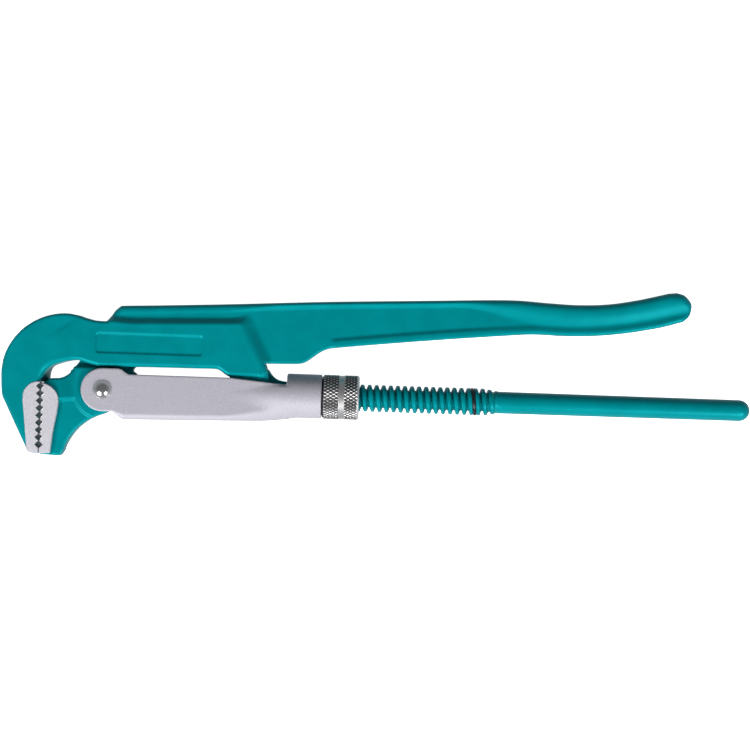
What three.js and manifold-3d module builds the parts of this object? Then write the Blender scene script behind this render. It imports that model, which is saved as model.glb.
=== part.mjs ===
// Pipe wrench of the Swedish pattern with its jaws bent to 90 degrees, in the 1 1/2 inch size, lying flat
// with its jaws closed. A forged upper leg ends in the fixed hook jaw. The lower leg is a round bar with a
// flat eye, hung on a pin in the upper leg's lug, and a coarse knuckle thread. A yoke of pressed steel
// slides along the lower leg, carries the lower jaw on a rivet, and is drawn back and forth by the nut.
//
// Lengths are millimetres. While the pieces are made, X runs along the screw towards the handle ends, Y
// across the tool towards the upper handle, Z out of its flat side, and the jaw rivet's axis is X = Y = 0.
// At the end the whole tool is moved so that its origin is the middle of its underside.
import * as THREE from "three";
import { ParametricGeometry } from "three/addons/geometries/ParametricGeometry.js";
import { mergeVertices } from "three/addons/utils/BufferGeometryUtils.js";
import Module from "manifold-3d";

// Half thicknesses, measured from the middle plane.
const FORGING_HALF = 8.6;
const PAD_HALF = 9;
const WEB_HALF = 4.6;
const FLANGE_HALF = 6.4;
const GRIP_HALF = 7;
const LUG_HALF = 7.3;
const SLOT_HALF = 4.05;
const TONGUE_HALF = 3.7;
const JAW_PLATE_HALF = 7.4;
const JAW_BODY_HALF = 6;
const YOKE_HALF = 10;
const YOKE_INNER_HALF = 7.7;

// The jaws and their teeth.
const CREST_GAP = 0.5;
const HOOK_CREST_X = -35.05;
const JAW_CREST_X = HOOK_CREST_X + CREST_GAP;
const TOOTH_PITCH = 4.1;
const TOOTH_DEPTH = 2.2;
const TOOTH_COUNT = 9;
const FIRST_GULLET_Y = 0.8;
const JAW_FOOT_Y = -37.1;
const TOOTH_SLANT = 2.6;

// The two pivots. Each turns with this gap round its shank.
const PIVOT_GAP = 0.3;
const SHANK_RADIUS = 4;
const PIN_X = 84;
const PIN_Y = 0.5;
const EYE_RADIUS = 9.2;
const LUG_RADIUS = 10;
const RIVET_HEAD_RADIUS = 5.2;
const RIVET_HEAD_HEIGHT = 3;
const EAR_RADIUS = 12.1;

// The lower leg's bar and its knuckle thread.
const THREAD_PITCH = 4;
const THREAD_MIDDLE_RADIUS = 6.45;
const THREAD_SWELL = 1.25;
const THREAD_ROOT_RADIUS = THREAD_MIDDLE_RADIUS - THREAD_SWELL;
const THREAD_START_X = 118;
const THREAD_FADE_X = 213;
const THREAD_END_X = 222;
const BAR_RADIUS = 6.2;
const BAR_TIP_RADIUS = 6;
const BAR_END_X = 365.3;
const STOP_RING_X = 210.6;
const STOP_WIRE_RADIUS = 0.95;
const STOP_RING_RADIUS = 6.9;

// The yoke's sleeve and the nut that turns in it.
const SLEEVE_START_X = 103.8;
const SLEEVE_END_X = 123.1;
const SLEEVE_RADIUS = 12.5;
const SLEEVE_BORE_RADIUS = 10;
const NUT_START_X = 123.4;
const NUT_END_X = 144.3;
const NUT_RADIUS = 12.65;
const NUT_BAND_RADIUS = 12.25;
const NUT_NECK_RADIUS = 9.7;
const NUT_NECK_START_X = 112;
const NUT_BORE_RADIUS = 8;
const NUT_THREAD_GAP = 0.6;
const KEEPER_X = 118.5;
const KEEPER_WIRE_RADIUS = 0.7;
const KEEPER_GROOVE_HALF = 1.1;
const KEEPER_GROOVE_DEPTH = 0.9;

// The blank panel sunk in the front of the upper leg.
const PANEL_LEFT_X = -4.8;
const PANEL_RIGHT_X = 55.5;
const PANEL_LOW_Y = 20.6;
const PANEL_HIGH_Y = 32.2;
const PANEL_DEPTH = 0.8;
const PANEL_CORNER = 1.8;

const ROUND_SIDES = 32;
const THREAD_SIDES = 16;
const STEPS_A_TURN = 5;

const TEAL = 0x008a92;
const SILVER = 0xb4b2be;
const PLATED = 0xbdbdc2;
const POLISHED = 0xc9c9cd;
const BLACK = 0x15161a;
const ENAMEL_FINISH = { roughness: 0.35, metalness: 0 };
const SATIN_METAL_FINISH = { roughness: 0.45, metalness: 0.8 };
const POLISHED_FINISH = { roughness: 0.15, metalness: 1 };
const BLACKED_FINISH = { roughness: 0.4, metalness: 0.6 };

const wasm = await Module();
wasm.setup();

// ---- Curves and outlines ----

function arc(x, y, radius, fromDegrees, toDegrees, steps) {
  return Array.from({ length: steps + 1 }, (_, i) => {
    const angle = THREE.MathUtils.degToRad(fromDegrees + ((toDegrees - fromDegrees) * i) / steps);
    return [x + radius * Math.cos(angle), y + radius * Math.sin(angle)];
  });
}

function smooth(points, stepsEach = 3) {
  const curve = new THREE.SplineCurve(points.map(([x, y]) => new THREE.Vector2(x, y)));
  return curve.getPoints((points.length - 1) * stepsEach).map((p) => [p.x, p.y]);
}

// The height of a left-to-right line of points at x.
function heightAt(points, x) {
  const i = Math.max(1, points.findIndex(([px]) => px >= x));
  const [x0, y0] = points[i - 1];
  const [x1, y1] = points[i];
  return y0 + ((y1 - y0) * (x - x0)) / (x1 - x0);
}

// ---- Solids ----

// A manifold solid of a closed three.js geometry, without the triangles that merging its points collapses.
function solid(geometry) {
  const bare = geometry.index ? geometry.toNonIndexed() : geometry.clone();
  bare.deleteAttribute("normal");
  bare.deleteAttribute("uv");
  const merged = mergeVertices(bare, 1e-4);
  const corners = merged.index.array;
  const kept = [];
  for (let i = 0; i < corners.length; i += 3) {
    const [a, b, c] = corners.subarray(i, i + 3);
    if (a !== b && b !== c && c !== a) kept.push(a, b, c);
  }
  const vertProperties = merged.attributes.position.array;
  return new wasm.Manifold(new wasm.Mesh({ numProp: 3, vertProperties, triVerts: new Uint32Array(kept) }));
}

// A plate of the outline, from lowZ to highZ.
function plate(points, lowZ, highZ) {
  const shape = new THREE.Shape(points.map(([x, y]) => new THREE.Vector2(x, y)));
  const geometry = new THREE.ExtrudeGeometry(shape, { depth: highZ - lowZ, bevelEnabled: false });
  return solid(geometry.translate(0, 0, lowZ));
}

function slab(points, half) {
  return plate(points, -half, half);
}

function disc(x, y, radius, half) {
  return slab(arc(x, y, radius, 0, 360, ROUND_SIDES).slice(1), half);
}

// A body turned about the X axis, from [x, radius] points that start and end on the axis or close up.
function turned(profile) {
  const points = profile.map(([x, radius]) => new THREE.Vector2(radius, x));
  return solid(new THREE.LatheGeometry(points, ROUND_SIDES).rotateZ(-Math.PI / 2));
}

// A body turned about the Z axis through (0, 0), from [radius, z] points.
function turnedUpright(profile) {
  const points = profile.map(([radius, z]) => new THREE.Vector2(radius, z));
  return solid(new THREE.LatheGeometry(points, ROUND_SIDES).rotateX(Math.PI / 2));
}

// A rod with the right-hand knuckle thread, whose surface is a cosine wave wound round the X axis. It is
// larger by gap, and after fadeX the wave dies away into the plain bar.
function threadedRod(startX, endX, gap, fadeX) {
  const steps = Math.ceil(((endX - startX) / THREAD_PITCH) * STEPS_A_TURN);
  const rings = steps + 2;
  const surface = (u, v, target) => {
    const ring = Math.round(v * rings);
    const x = startX + ((endX - startX) * THREE.MathUtils.clamp(ring - 1, 0, steps)) / steps;
    const angle = u * 2 * Math.PI;
    const fade = 1 - THREE.MathUtils.smoothstep(x, fadeX, THREAD_END_X);
    const middle = BAR_RADIUS + (THREAD_MIDDLE_RADIUS - BAR_RADIUS) * fade;
    const wave = -THREAD_SWELL * fade * Math.cos((2 * Math.PI * x) / THREAD_PITCH - angle);
    const radius = ring === 0 || ring === rings ? 0 : middle + wave + gap;
    target.set(x, radius * Math.cos(angle), radius * Math.sin(angle));
  };
  return solid(new ParametricGeometry(surface, THREAD_SIDES, rings));
}

// A round wire along turns of a helix about the X axis; advance is how far it climbs in a whole turn.
class Coil extends THREE.Curve {
  constructor(middleX, radius, advance, fromTurn, toTurn) {
    super();
    Object.assign(this, { middleX, radius, advance, fromTurn, toTurn });
  }
  getPoint(t, target = new THREE.Vector3()) {
    const turn = this.fromTurn + (this.toTurn - this.fromTurn) * t;
    const angle = turn * 2 * Math.PI;
    const x = this.middleX + this.advance * turn;
    return target.set(x, this.radius * Math.cos(angle), this.radius * Math.sin(angle));
  }
}

function wire(coil, wireRadius) {
  const section = new THREE.Shape(arc(0, 0, wireRadius, 0, 360, 8).slice(1).map(([x, y]) => new THREE.Vector2(x, y)));
  return solid(new THREE.ExtrudeGeometry(section, { steps: 30, bevelEnabled: false, extrudePath: coil }));
}

// ---- The upper leg: hook jaw, slotted boss, lug and handle in one forging ----

// The gaps between a jaw's teeth, as one comb that cuts them. They run slightly aslant across the jaw, so
// that each tooth is higher by the slant at the back than at the front. Into is the way into the jaw along X.
function toothGaps(crestX, into) {
  const highY = FIRST_GULLET_Y + TOOTH_PITCH / 2;
  const lowY = highY - TOOTH_COUNT * TOOTH_PITCH;
  const line = [[crestX - into, lowY], [crestX - into, highY], [crestX, highY]];
  for (let i = 0; i < TOOTH_COUNT; i++) {
    const gulletY = FIRST_GULLET_Y - i * TOOTH_PITCH;
    line.push([crestX + into * TOOTH_DEPTH, gulletY], [crestX, gulletY - TOOTH_PITCH / 2]);
  }
  const half = PAD_HALF + 1;
  const shape = new THREE.Shape(line.map(([x, y]) => new THREE.Vector2(x, y)));
  const geometry = new THREE.ExtrudeGeometry(shape, { depth: 2 * half, bevelEnabled: false });
  const slant = new THREE.Matrix4().makeShear(0, 0, 0, 0, 0, -TOOTH_SLANT / (2 * PAD_HALF));
  return solid(geometry.translate(0, TOOTH_SLANT / 2, -half).applyMatrix4(slant));
}

const BOSS_EDGE_X = 89.4;
const BOSS_EDGE_Y = 9.8;
const HOOK_BACK = [...arc(-21.4, 5.2, 37.1, 92, 165, 14), [-57.9, 9.5], [-57.8, 4], [-57.1, -4.4], [-55.3, -8.5]];
const HOOK_FOOT = smooth([[-42.7, -33.2], [-41.8, -35.4], [-39.7, -36.8], [HOOK_CREST_X, JAW_FOOT_Y]], 2);
const MOUTH = smooth([[HOOK_CREST_X, 2.8], [-33.9, 4.4], [-33.1, 6.8], [-32.1, 9.2], [-30.2, 11.7], [-27.1, 13.9],
  [-20.8, 16], [-16.2, 16.5], [-13, 16.1], [-10.5, 15], [-4.8, 13.5], [-0.3, 12.9]], 2);
const UNDERSIDE = [[23.3, 13.4], [62.1, 13.7], [65.5, 12.9], [67.8, 11.3], [70.2, BOSS_EDGE_Y]];
const BOSS_RIGHT = [[BOSS_EDGE_X, BOSS_EDGE_Y], [91.2, 11.4], [91.9, 13.4], [90.6, 17.6], [87.9, 19.6],
  [83.6, 27.4], [79.5, 35.4], [78.3, 39], [76.3, 40.3], [15, 38.6]];
const HOOK_TOP = smooth([[3, 38.9], [-5.1, 38.8], [-11.9, 40.3], [-15.3, 41.4], [-19.9, 42.2]], 2);

const RAIL_END = smooth([[1.1, 38.9], [3.8, 42.7], [5.4, 45], [8.1, 47.2], [10.3, 47.7]], 2);
const TOP_EDGE = smooth([[30.6, 48.6], [72.7, 50.7], [123.3, 53.6], [182.3, 56.2], [216, 57.7], [232.9, 58],
  [249.8, 57.1], [266.7, 56.6], [283.5, 57.6], [300.3, 60.6], [317.1, 64.8]]);
const HANDLE_END = smooth([[321.6, 65.3], [325.5, 63.8], [329.1, 59.7], [329.4, 56.3], [328.2, 52.4], [324.9, 49.2]], 2);
const BOTTOM_EDGE = smooth([[90.6, 17.6], [112.1, 18.5], [115.9, 20.7], [120.3, 24.6], [124.2, 26.8], [132.6, 28.2],
  [183, 33.7], [225.1, 37.8], [241.9, 39.1], [258.8, 38.8], [275.7, 39.4], [292.5, 41.3], [309.3, 44.4],
  [317.7, 46.5]]);

// A strip of the handle along its upper edge (way -1) or its lower edge (way 1).
function edgeStrip(edge, startX, endX, way, depthAt) {
  const outer = edge.filter(([x]) => x > startX && x < endX);
  const inner = outer.map(([x, y]) => [x, y + way * depthAt(x)]);
  return [...outer, ...inner.reverse()];
}

const TOP_FLANGE_DEPTH = 4.5;
const LOW_FLANGE_DEPTH = 3.6;
const GRIP_START_X = 205;
const GRIP_FULL_X = 245;
const GRIP_SHARE = 0.75;

// The upper flange's depth, which grows until the grip is a full swelling over most of the handle.
function topFlangeDepth(x) {
  const height = heightAt(TOP_EDGE, x) - heightAt(BOTTOM_EDGE, x);
  const grown = THREE.MathUtils.smoothstep(x, GRIP_START_X, GRIP_FULL_X);
  return THREE.MathUtils.lerp(TOP_FLANGE_DEPTH, GRIP_SHARE * height, grown);
}

function upperLeg() {
  const head = [...HOOK_BACK, ...HOOK_FOOT, ...MOUTH, ...UNDERSIDE, ...BOSS_RIGHT, ...HOOK_TOP];
  const pad = [[HOOK_CREST_X, 2.8], [HOOK_CREST_X, JAW_FOOT_Y], [-41.5, -34.8], [-44.5, -7.3], [-44.3, -2.8],
    [-42.7, 0], [-40.5, 2.1], [-37, 3.4]];
  const web = [...RAIL_END, ...TOP_EDGE, ...HANDLE_END, ...BOTTOM_EDGE.slice().reverse(), [70, 31], [2, 31]];
  const topFlange = edgeStrip([[11, 47.8], ...TOP_EDGE], 10, 305, -1, topFlangeDepth);
  const lowFlange = edgeStrip(BOTTOM_EDGE, 129, 306, 1, () => LOW_FLANGE_DEPTH);
  const gripEnd = [...TOP_EDGE.filter(([x]) => x > 290), ...HANDLE_END,
    ...BOTTOM_EDGE.filter(([x]) => x > 296).reverse()];
  const lug = [...arc(PIN_X, PIN_Y, LUG_RADIUS, -180, 0, 16), [93, 10], [92, 14], [71, 14], [71, 9.5]];
  const slot = [[-28, 5], [-20, 17], [-15, 24.5], [-8, 26.5], [78, 26.5], [88, 17.2], [97, 16.6], [97, -12],
    [60, -12], [60, 5]];
  const cornerAt = (x, y, from) => arc(x, y, PANEL_CORNER, from, from + 90, 3);
  const panel = [
    ...cornerAt(PANEL_LEFT_X + PANEL_CORNER, PANEL_LOW_Y + PANEL_CORNER, 180),
    ...cornerAt(PANEL_RIGHT_X - PANEL_CORNER, PANEL_LOW_Y + PANEL_CORNER, 270),
    ...cornerAt(PANEL_RIGHT_X - PANEL_CORNER, PANEL_HIGH_Y - PANEL_CORNER, 0),
    ...cornerAt(PANEL_LEFT_X + PANEL_CORNER, PANEL_HIGH_Y - PANEL_CORNER, 90),
  ];
  return slab(head, FORGING_HALF)
    .add(slab(pad, PAD_HALF))
    .add(slab(web, WEB_HALF))
    .add(slab(topFlange, FLANGE_HALF))
    .add(slab(lowFlange, FLANGE_HALF))
    .add(slab(gripEnd, GRIP_HALF))
    .add(slab(lug, LUG_HALF))
    .subtract(toothGaps(HOOK_CREST_X, -1))
    .subtract(slab(slot, SLOT_HALF))
    .subtract(disc(PIN_X, PIN_Y, SHANK_RADIUS + PIVOT_GAP, LUG_HALF + 1))
    .subtract(plate(panel, FORGING_HALF - PANEL_DEPTH, FORGING_HALF + 1));
}

function legPin() {
  return disc(PIN_X, PIN_Y, SHANK_RADIUS, LUG_HALF - 0.1);
}

// ---- The lower leg: flat eye with its shoulder, threaded bar and round handle ----

function lowerLeg() {
  const eye = [...arc(PIN_X, PIN_Y, EYE_RADIUS, 75, 285, 20), [93, -7.6], [101, -5.4], [108, -4.5], [108, 4.5],
    [104, 7.7], [98.3, 8.7], [94.9, 11.1], [92.7, 14.1], [90.6, 14.8], [88.4, 13], [87.4, 10.4]];
  const tipStart = BAR_END_X - BAR_TIP_RADIUS;
  const bar = turned([
    [98, 0],
    [98, 3],
    [101, THREAD_ROOT_RADIUS],
    [THREAD_START_X + 1, THREAD_ROOT_RADIUS],
    [THREAD_START_X + 1, 0],
  ]);
  const handle = turned([
    [THREAD_END_X - 1, 0],
    [THREAD_END_X - 1, BAR_RADIUS],
    ...arc(tipStart, 0, BAR_TIP_RADIUS, 90, 0, 6).slice(0, -1),
    [BAR_END_X, 0],
  ]);
  return slab(eye, TONGUE_HALF)
    .add(bar)
    .add(threadedRod(THREAD_START_X, THREAD_END_X, 0, THREAD_FADE_X))
    .add(handle)
    .subtract(disc(PIN_X, PIN_Y, SHANK_RADIUS + PIVOT_GAP, TONGUE_HALF + 1));
}

// An open ring of round wire that lies in the thread's valley and stops the nut.
function threadStopRing() {
  const valleyX = Math.floor(STOP_RING_X / THREAD_PITCH) * THREAD_PITCH;
  return wire(new Coil(valleyX, STOP_RING_RADIUS, THREAD_PITCH, 0.1, 1.02), STOP_WIRE_RADIUS);
}

// ---- The yoke and its rivet ----

function yoke() {
  const side = [...arc(0, 0, EAR_RADIUS, 90, 272, 20), [5.6, -12], [10.8, -15.9], [12.5, -16.5], [55.2, -15.7],
    [90.1, -14.9], [97.4, -14.3], [103.6, -12.6], [108, -10], [108, 6], [102.3, 6.2], [74.1, 8.8], [70.1, 9],
    [16, 9], [13.3, 9.4], [10.6, 11.7], [8.7, 12.3]];
  const channel = [[-20, -12], [7, -12.2], [10.5, -14.2], [90, -12.6], [105.5, -11.4], [105.5, 20], [-20, 20]];
  const bore = (fromX, toX, radius) => turned([[fromX, 0], [fromX, radius], [toX, radius], [toX, 0]]);
  const sleeve = turned([
    [SLEEVE_START_X, 0],
    [SLEEVE_START_X, SLEEVE_RADIUS - 0.6],
    [SLEEVE_START_X + 0.6, SLEEVE_RADIUS],
    [SLEEVE_END_X, SLEEVE_RADIUS],
    [SLEEVE_END_X, 0],
  ]);
  return slab(side, YOKE_HALF)
    .add(sleeve)
    .subtract(slab(channel, YOKE_INNER_HALF))
    .subtract(disc(0, 0, 13.4, YOKE_INNER_HALF))
    .subtract(bore(105.2, SLEEVE_END_X + 1, SLEEVE_BORE_RADIUS))
    .subtract(bore(KEEPER_X - KEEPER_GROOVE_HALF, KEEPER_X + KEEPER_GROOVE_HALF,
      SLEEVE_BORE_RADIUS + KEEPER_GROOVE_DEPTH))
    .subtract(disc(0, 0, SHANK_RADIUS + PIVOT_GAP, YOKE_HALF + 1));
}

// The rivet's shank with a dome at each end, clear of the ears by the pivot gap.
function jawRivet() {
  const seat = YOKE_HALF + PIVOT_GAP;
  const top = YOKE_HALF + RIVET_HEAD_HEIGHT;
  const domeHeight = top - seat;
  const dome = arc(0, 0, 1, 12, 90, 5).map(([across, up]) => [across * RIVET_HEAD_RADIUS, seat + up * domeHeight]);
  dome[dome.length - 1][0] = 0;
  const upper = [[SHANK_RADIUS, seat], [RIVET_HEAD_RADIUS, seat], ...dome];
  const lower = upper.map(([radius, z]) => [radius, -z]).reverse();
  return turnedUpright([...lower, ...upper]);
}

// ---- The lower jaw ----

function lowerJaw() {
  const foot = [[JAW_CREST_X, 2.8], [JAW_CREST_X, -37.4], [-28.5, -37.8], [-23.9, -38.1], [-22.6, -37]];
  const heel = [...arc(8.6, -44.1, 30.9, 162, 105, 8), [4, -11.6], ...arc(0, 0, 12.3, -60, 70, 10)];
  const brow = [[4, 12.4], [-16.5, 12.4], [-17.7, 11], [-21, 8.1], [-24.3, 6.3], [-28.3, 5], [-31.4, 3.9]];
  const body = [...foot, ...heel, ...brow];
  const aboveRecess = [[-60, 20], [-60, -60], [-24, -60], [-23, -6.5], [-15.5, -5], [-12.5, -8.8], [-7.8, -14.6],
    [0, -20], [40, -20], [40, 20]];
  const pad = [[JAW_CREST_X, 2.6], [JAW_CREST_X, -37.2], [-28.3, -36], [-27.2, -24.8], [-25.3, -13.5],
    [-24.6, -6.1], [-26, -2.2], [-28.6, 0.5], [-32, 2.4]];
  const tongue = [[-12, 0], [-19, 10], [-17.7, 11], [-15.5, 13.6], [-13.7, 16.2], [-10.6, 21], [-4, 23], [20, 22.4],
    [23.4, 19.4], [21.5, 15.2], [18, 13.3], [16.9, 11], [18.9, 9], [16, 4.5], [10, -4]];
  return slab(body, JAW_BODY_HALF)
    .add(slab(body, JAW_PLATE_HALF).intersect(slab(aboveRecess, YOKE_HALF)))
    .add(slab(pad, PAD_HALF))
    .add(slab(tongue, TONGUE_HALF))
    .subtract(toothGaps(JAW_CREST_X, 1))
    .subtract(disc(0, 0, SHANK_RADIUS + PIVOT_GAP, YOKE_HALF));
}

// ---- The adjusting nut and the ring that keeps it in the sleeve ----

function adjustingNut() {
  const chamfer = 0.8;
  const profile = [
    [NUT_NECK_START_X, NUT_BORE_RADIUS],
    [NUT_NECK_START_X, NUT_NECK_RADIUS],
    [KEEPER_X - KEEPER_GROOVE_HALF, NUT_NECK_RADIUS],
    [KEEPER_X - KEEPER_GROOVE_HALF, NUT_NECK_RADIUS - KEEPER_GROOVE_DEPTH],
    [KEEPER_X + KEEPER_GROOVE_HALF, NUT_NECK_RADIUS - KEEPER_GROOVE_DEPTH],
    [KEEPER_X + KEEPER_GROOVE_HALF, NUT_NECK_RADIUS],
    [NUT_START_X, NUT_NECK_RADIUS],
    [NUT_START_X, NUT_RADIUS - chamfer],
    [NUT_START_X + chamfer, NUT_RADIUS],
    [132.8, NUT_RADIUS],
    [133.2, NUT_BAND_RADIUS],
    [135.6, NUT_BAND_RADIUS],
    [136, NUT_RADIUS],
    [NUT_END_X - 1.6, NUT_RADIUS],
    [NUT_END_X, NUT_RADIUS - 1.2],
    [NUT_END_X, 0],
    [NUT_START_X + 2, 0],
    [NUT_START_X + 2, NUT_BORE_RADIUS],
    [NUT_NECK_START_X, NUT_BORE_RADIUS],
  ];
  return turned(profile).subtract(threadedRod(NUT_START_X + 1, NUT_END_X + 1, NUT_THREAD_GAP, THREAD_FADE_X));
}

function nutRetainingRing() {
  const radius = (NUT_NECK_RADIUS + SLEEVE_BORE_RADIUS) / 2;
  return wire(new Coil(KEEPER_X, radius, 0, 0.06, 0.94), KEEPER_WIRE_RADIUS);
}

// ---- The assembly ----

function piece(name, shape, color, finish) {
  const { vertProperties, triVerts } = shape.getMesh();
  const geometry = new THREE.BufferGeometry();
  geometry.setAttribute("position", new THREE.BufferAttribute(vertProperties, 3));
  geometry.setIndex(new THREE.BufferAttribute(triVerts, 1));
  geometry.computeVertexNormals();
  const mesh = new THREE.Mesh(geometry, new THREE.MeshStandardMaterial({ color, ...finish }));
  mesh.name = name;
  return mesh;
}

const wrench = new THREE.Group();
const upperHalf = new THREE.Group();
const lowerHalf = new THREE.Group();
const yokeGroup = new THREE.Group();
const jawGroup = new THREE.Group();
const nutGroup = new THREE.Group();
wrench.add(upperHalf, lowerHalf);
lowerHalf.add(yokeGroup);
yokeGroup.add(jawGroup, nutGroup);

upperHalf.add(piece("upper_leg", upperLeg(), TEAL, ENAMEL_FINISH));
upperHalf.add(piece("leg_pin", legPin(), POLISHED, POLISHED_FINISH));
lowerHalf.add(piece("lower_leg", lowerLeg(), TEAL, ENAMEL_FINISH));
lowerHalf.add(piece("thread_stop_ring", threadStopRing(), BLACK, BLACKED_FINISH));
yokeGroup.add(piece("yoke", yoke(), SILVER, SATIN_METAL_FINISH));
yokeGroup.add(piece("jaw_rivet", jawRivet(), POLISHED, POLISHED_FINISH));
jawGroup.add(piece("lower_jaw", lowerJaw(), TEAL, ENAMEL_FINISH));
nutGroup.add(piece("adjusting_nut", adjustingNut(), PLATED, SATIN_METAL_FINISH));
nutGroup.add(piece("nut_retaining_ring", nutRetainingRing(), BLACK, BLACKED_FINISH));

const box = new THREE.Box3().setFromObject(wrench);
const middle = box.getCenter(new THREE.Vector3());
wrench.position.set(-middle.x, -middle.y, -box.min.z);

export default wrench;
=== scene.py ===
import math

import bmesh
import bpy
import numpy as np
import openvdb
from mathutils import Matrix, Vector


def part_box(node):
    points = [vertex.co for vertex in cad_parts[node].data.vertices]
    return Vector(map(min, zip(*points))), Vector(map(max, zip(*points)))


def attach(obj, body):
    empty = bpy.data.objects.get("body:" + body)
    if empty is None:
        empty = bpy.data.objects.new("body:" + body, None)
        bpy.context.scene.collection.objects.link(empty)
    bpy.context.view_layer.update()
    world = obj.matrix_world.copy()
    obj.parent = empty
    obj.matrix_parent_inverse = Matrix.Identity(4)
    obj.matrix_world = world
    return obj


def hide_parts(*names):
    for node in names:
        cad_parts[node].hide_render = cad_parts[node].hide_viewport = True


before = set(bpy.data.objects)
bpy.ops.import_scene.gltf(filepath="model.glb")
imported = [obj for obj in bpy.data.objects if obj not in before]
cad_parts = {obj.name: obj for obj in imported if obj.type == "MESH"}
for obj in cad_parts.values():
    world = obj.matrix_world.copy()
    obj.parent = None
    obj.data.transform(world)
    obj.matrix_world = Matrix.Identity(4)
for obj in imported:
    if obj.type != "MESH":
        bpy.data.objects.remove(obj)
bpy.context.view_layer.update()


# ---- Bench, lights and camera ----
# The tool lies flat on a pale bench. Two soft boxes stand beyond its lower edge, so that faces turned
# towards them are bright and faces turned to the upper handle are dim.
MM = 0.001
rivet_low, rivet_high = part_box("jaw_rivet")
# Lengths in mm below are measured from the rivet's middle, and z = 0 is the middle of the thickness.
RIVET_AXIS = (rivet_low + rivet_high) / 2
bpy.context.scene.view_settings.view_transform = "Standard"


def place(x, y, z=0.0):
    """The point of the frame, in metres, that lies x, y, z mm from the rivet's middle."""
    return RIVET_AXIS + Vector((x, y, z)) * MM


def bench_top():
    half_side = 3.0
    lift = -0.0002  # the tool's lowest rivet head just clears it
    signs = [(-1, -1), (1, -1), (1, 1), (-1, 1)]
    corners = [(across * half_side, along * half_side, lift) for across, along in signs]
    mesh = bpy.data.meshes.new("bench_top")
    mesh.from_pydata(corners, [], [(0, 1, 2, 3)])
    bench = bpy.data.objects.new("bench_top", mesh)
    bpy.context.scene.collection.objects.link(bench)
    paper = bpy.data.materials.new("pale_paper")
    paper.use_nodes = True
    shader = paper.node_tree.nodes["Principled BSDF"]
    shader.inputs["Base Color"].default_value = (0.93, 0.93, 0.93, 1)
    shader.inputs["Roughness"].default_value = 0.9
    shader.inputs["Specular IOR Level"].default_value = 0.1
    shader.inputs["Emission Color"].default_value = (1, 1, 1, 1)
    shader.inputs["Emission Strength"].default_value = 1.0
    mesh.materials.append(paper)
    bench.visible_diffuse = False
    bench.visible_glossy = False


def soft_box(name, across, along, above, width, depth, watts):
    """An area light over the point across, along mm from the rivet, aimed at the middle of the tool."""
    lamp = bpy.data.lights.new(name, "AREA")
    lamp.shape = "RECTANGLE"
    lamp.size = width
    lamp.size_y = depth
    lamp.energy = watts
    holder = bpy.data.objects.new(name, lamp)
    bpy.context.scene.collection.objects.link(holder)
    holder.location = place(across, along, above)
    aim = place(120, 10) - holder.location
    holder.rotation_euler = aim.to_track_quat("-Z", "Y").to_euler()
    holder.visible_camera = False


bench_top()
soft_box("soft_box_left", across=-700, along=-1000, above=950, width=0.75, depth=0.6, watts=28)
soft_box("soft_box_right", across=950, along=-1000, above=950, width=0.6, depth=0.5, watts=21.5)

studio = bpy.data.worlds.new("studio")
studio.use_nodes = True
studio_light = studio.node_tree.nodes["Background"]
studio_light.inputs["Color"].default_value = (0.95, 0.97, 1.0, 1)
heading = studio.node_tree.nodes.new("ShaderNodeTexCoord")
height_of = studio.node_tree.nodes.new("ShaderNodeSeparateXYZ")
# The bench sends up more light than the dark ceiling sends down.
fade_up = studio.node_tree.nodes.new("ShaderNodeMapRange")
fade_up.inputs["From Min"].default_value = -0.4
fade_up.inputs["From Max"].default_value = 0.6
fade_up.inputs["To Min"].default_value = 0.62
fade_up.inputs["To Max"].default_value = 0.17
studio.node_tree.links.new(heading.outputs["Generated"], height_of.inputs["Vector"])
studio.node_tree.links.new(height_of.outputs["Z"], fade_up.inputs["Value"])
studio.node_tree.links.new(fade_up.outputs["Result"], studio_light.inputs["Strength"])
bpy.context.scene.world = studio

CAMERA_ABOVE = 1100
FACE_HEIGHT = 7  # the height in mm at which the view is as wide as stated
VIEW_WIDTH = 421.9
VIEW_MIDDLE = (152.8, 13.3)
VIEW_ROLL = math.radians(1.91)  # the tool's screw runs slightly downhill in the view

lens = bpy.data.cameras.new("camera")
lens.sensor_width = 36.0
lens.lens = lens.sensor_width * (CAMERA_ABOVE - FACE_HEIGHT) / VIEW_WIDTH
lens.clip_end = 10.0
camera = bpy.data.objects.new("camera", lens)
bpy.context.scene.collection.objects.link(camera)
camera.location = place(*VIEW_MIDDLE, CAMERA_ABOVE)
camera.rotation_euler = (0, 0, VIEW_ROLL)
bpy.context.scene.camera = camera


# ---- Upper leg ----
# A drop forging in medium carbon steel: the hook jaw, a thick boss slotted for the lower jaw's tongue,
# and an I-section handle with a swollen grip. It is dipped in teal enamel after its teeth and slot are
# milled, and then the faces beside the teeth are ground bare.
VOXEL = 0.5  # spacing in mm of the points that a forging's shape is worked out on

HOOK_CREST_X = -35.05
TOOTH_PITCH = 4.1
TOOTH_DEPTH = 2.2
TOOTH_COUNT = 9
FIRST_GULLET_Y = 0.8
TOOTH_SLANT = 2.6
BOSS_HALF = 8.6
PAD_HALF = 9.0
PAD_CHAMFER = 0.3
WEB_HALF = 4.7
FLANGE_HALF = 6.4
LUG_HALF = 7.3
SLOT_HALF = 4.05
PIN_X, PIN_Y = 84.0, 0.5
SHANK_HOLE = 4.3
PANEL_DEPTH = 0.8


def arc(x, y, radius, start, end, steps):
    angles = np.radians(np.linspace(start, end, steps + 1))
    return [(x + radius * math.cos(a), y + radius * math.sin(a)) for a in angles]


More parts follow.
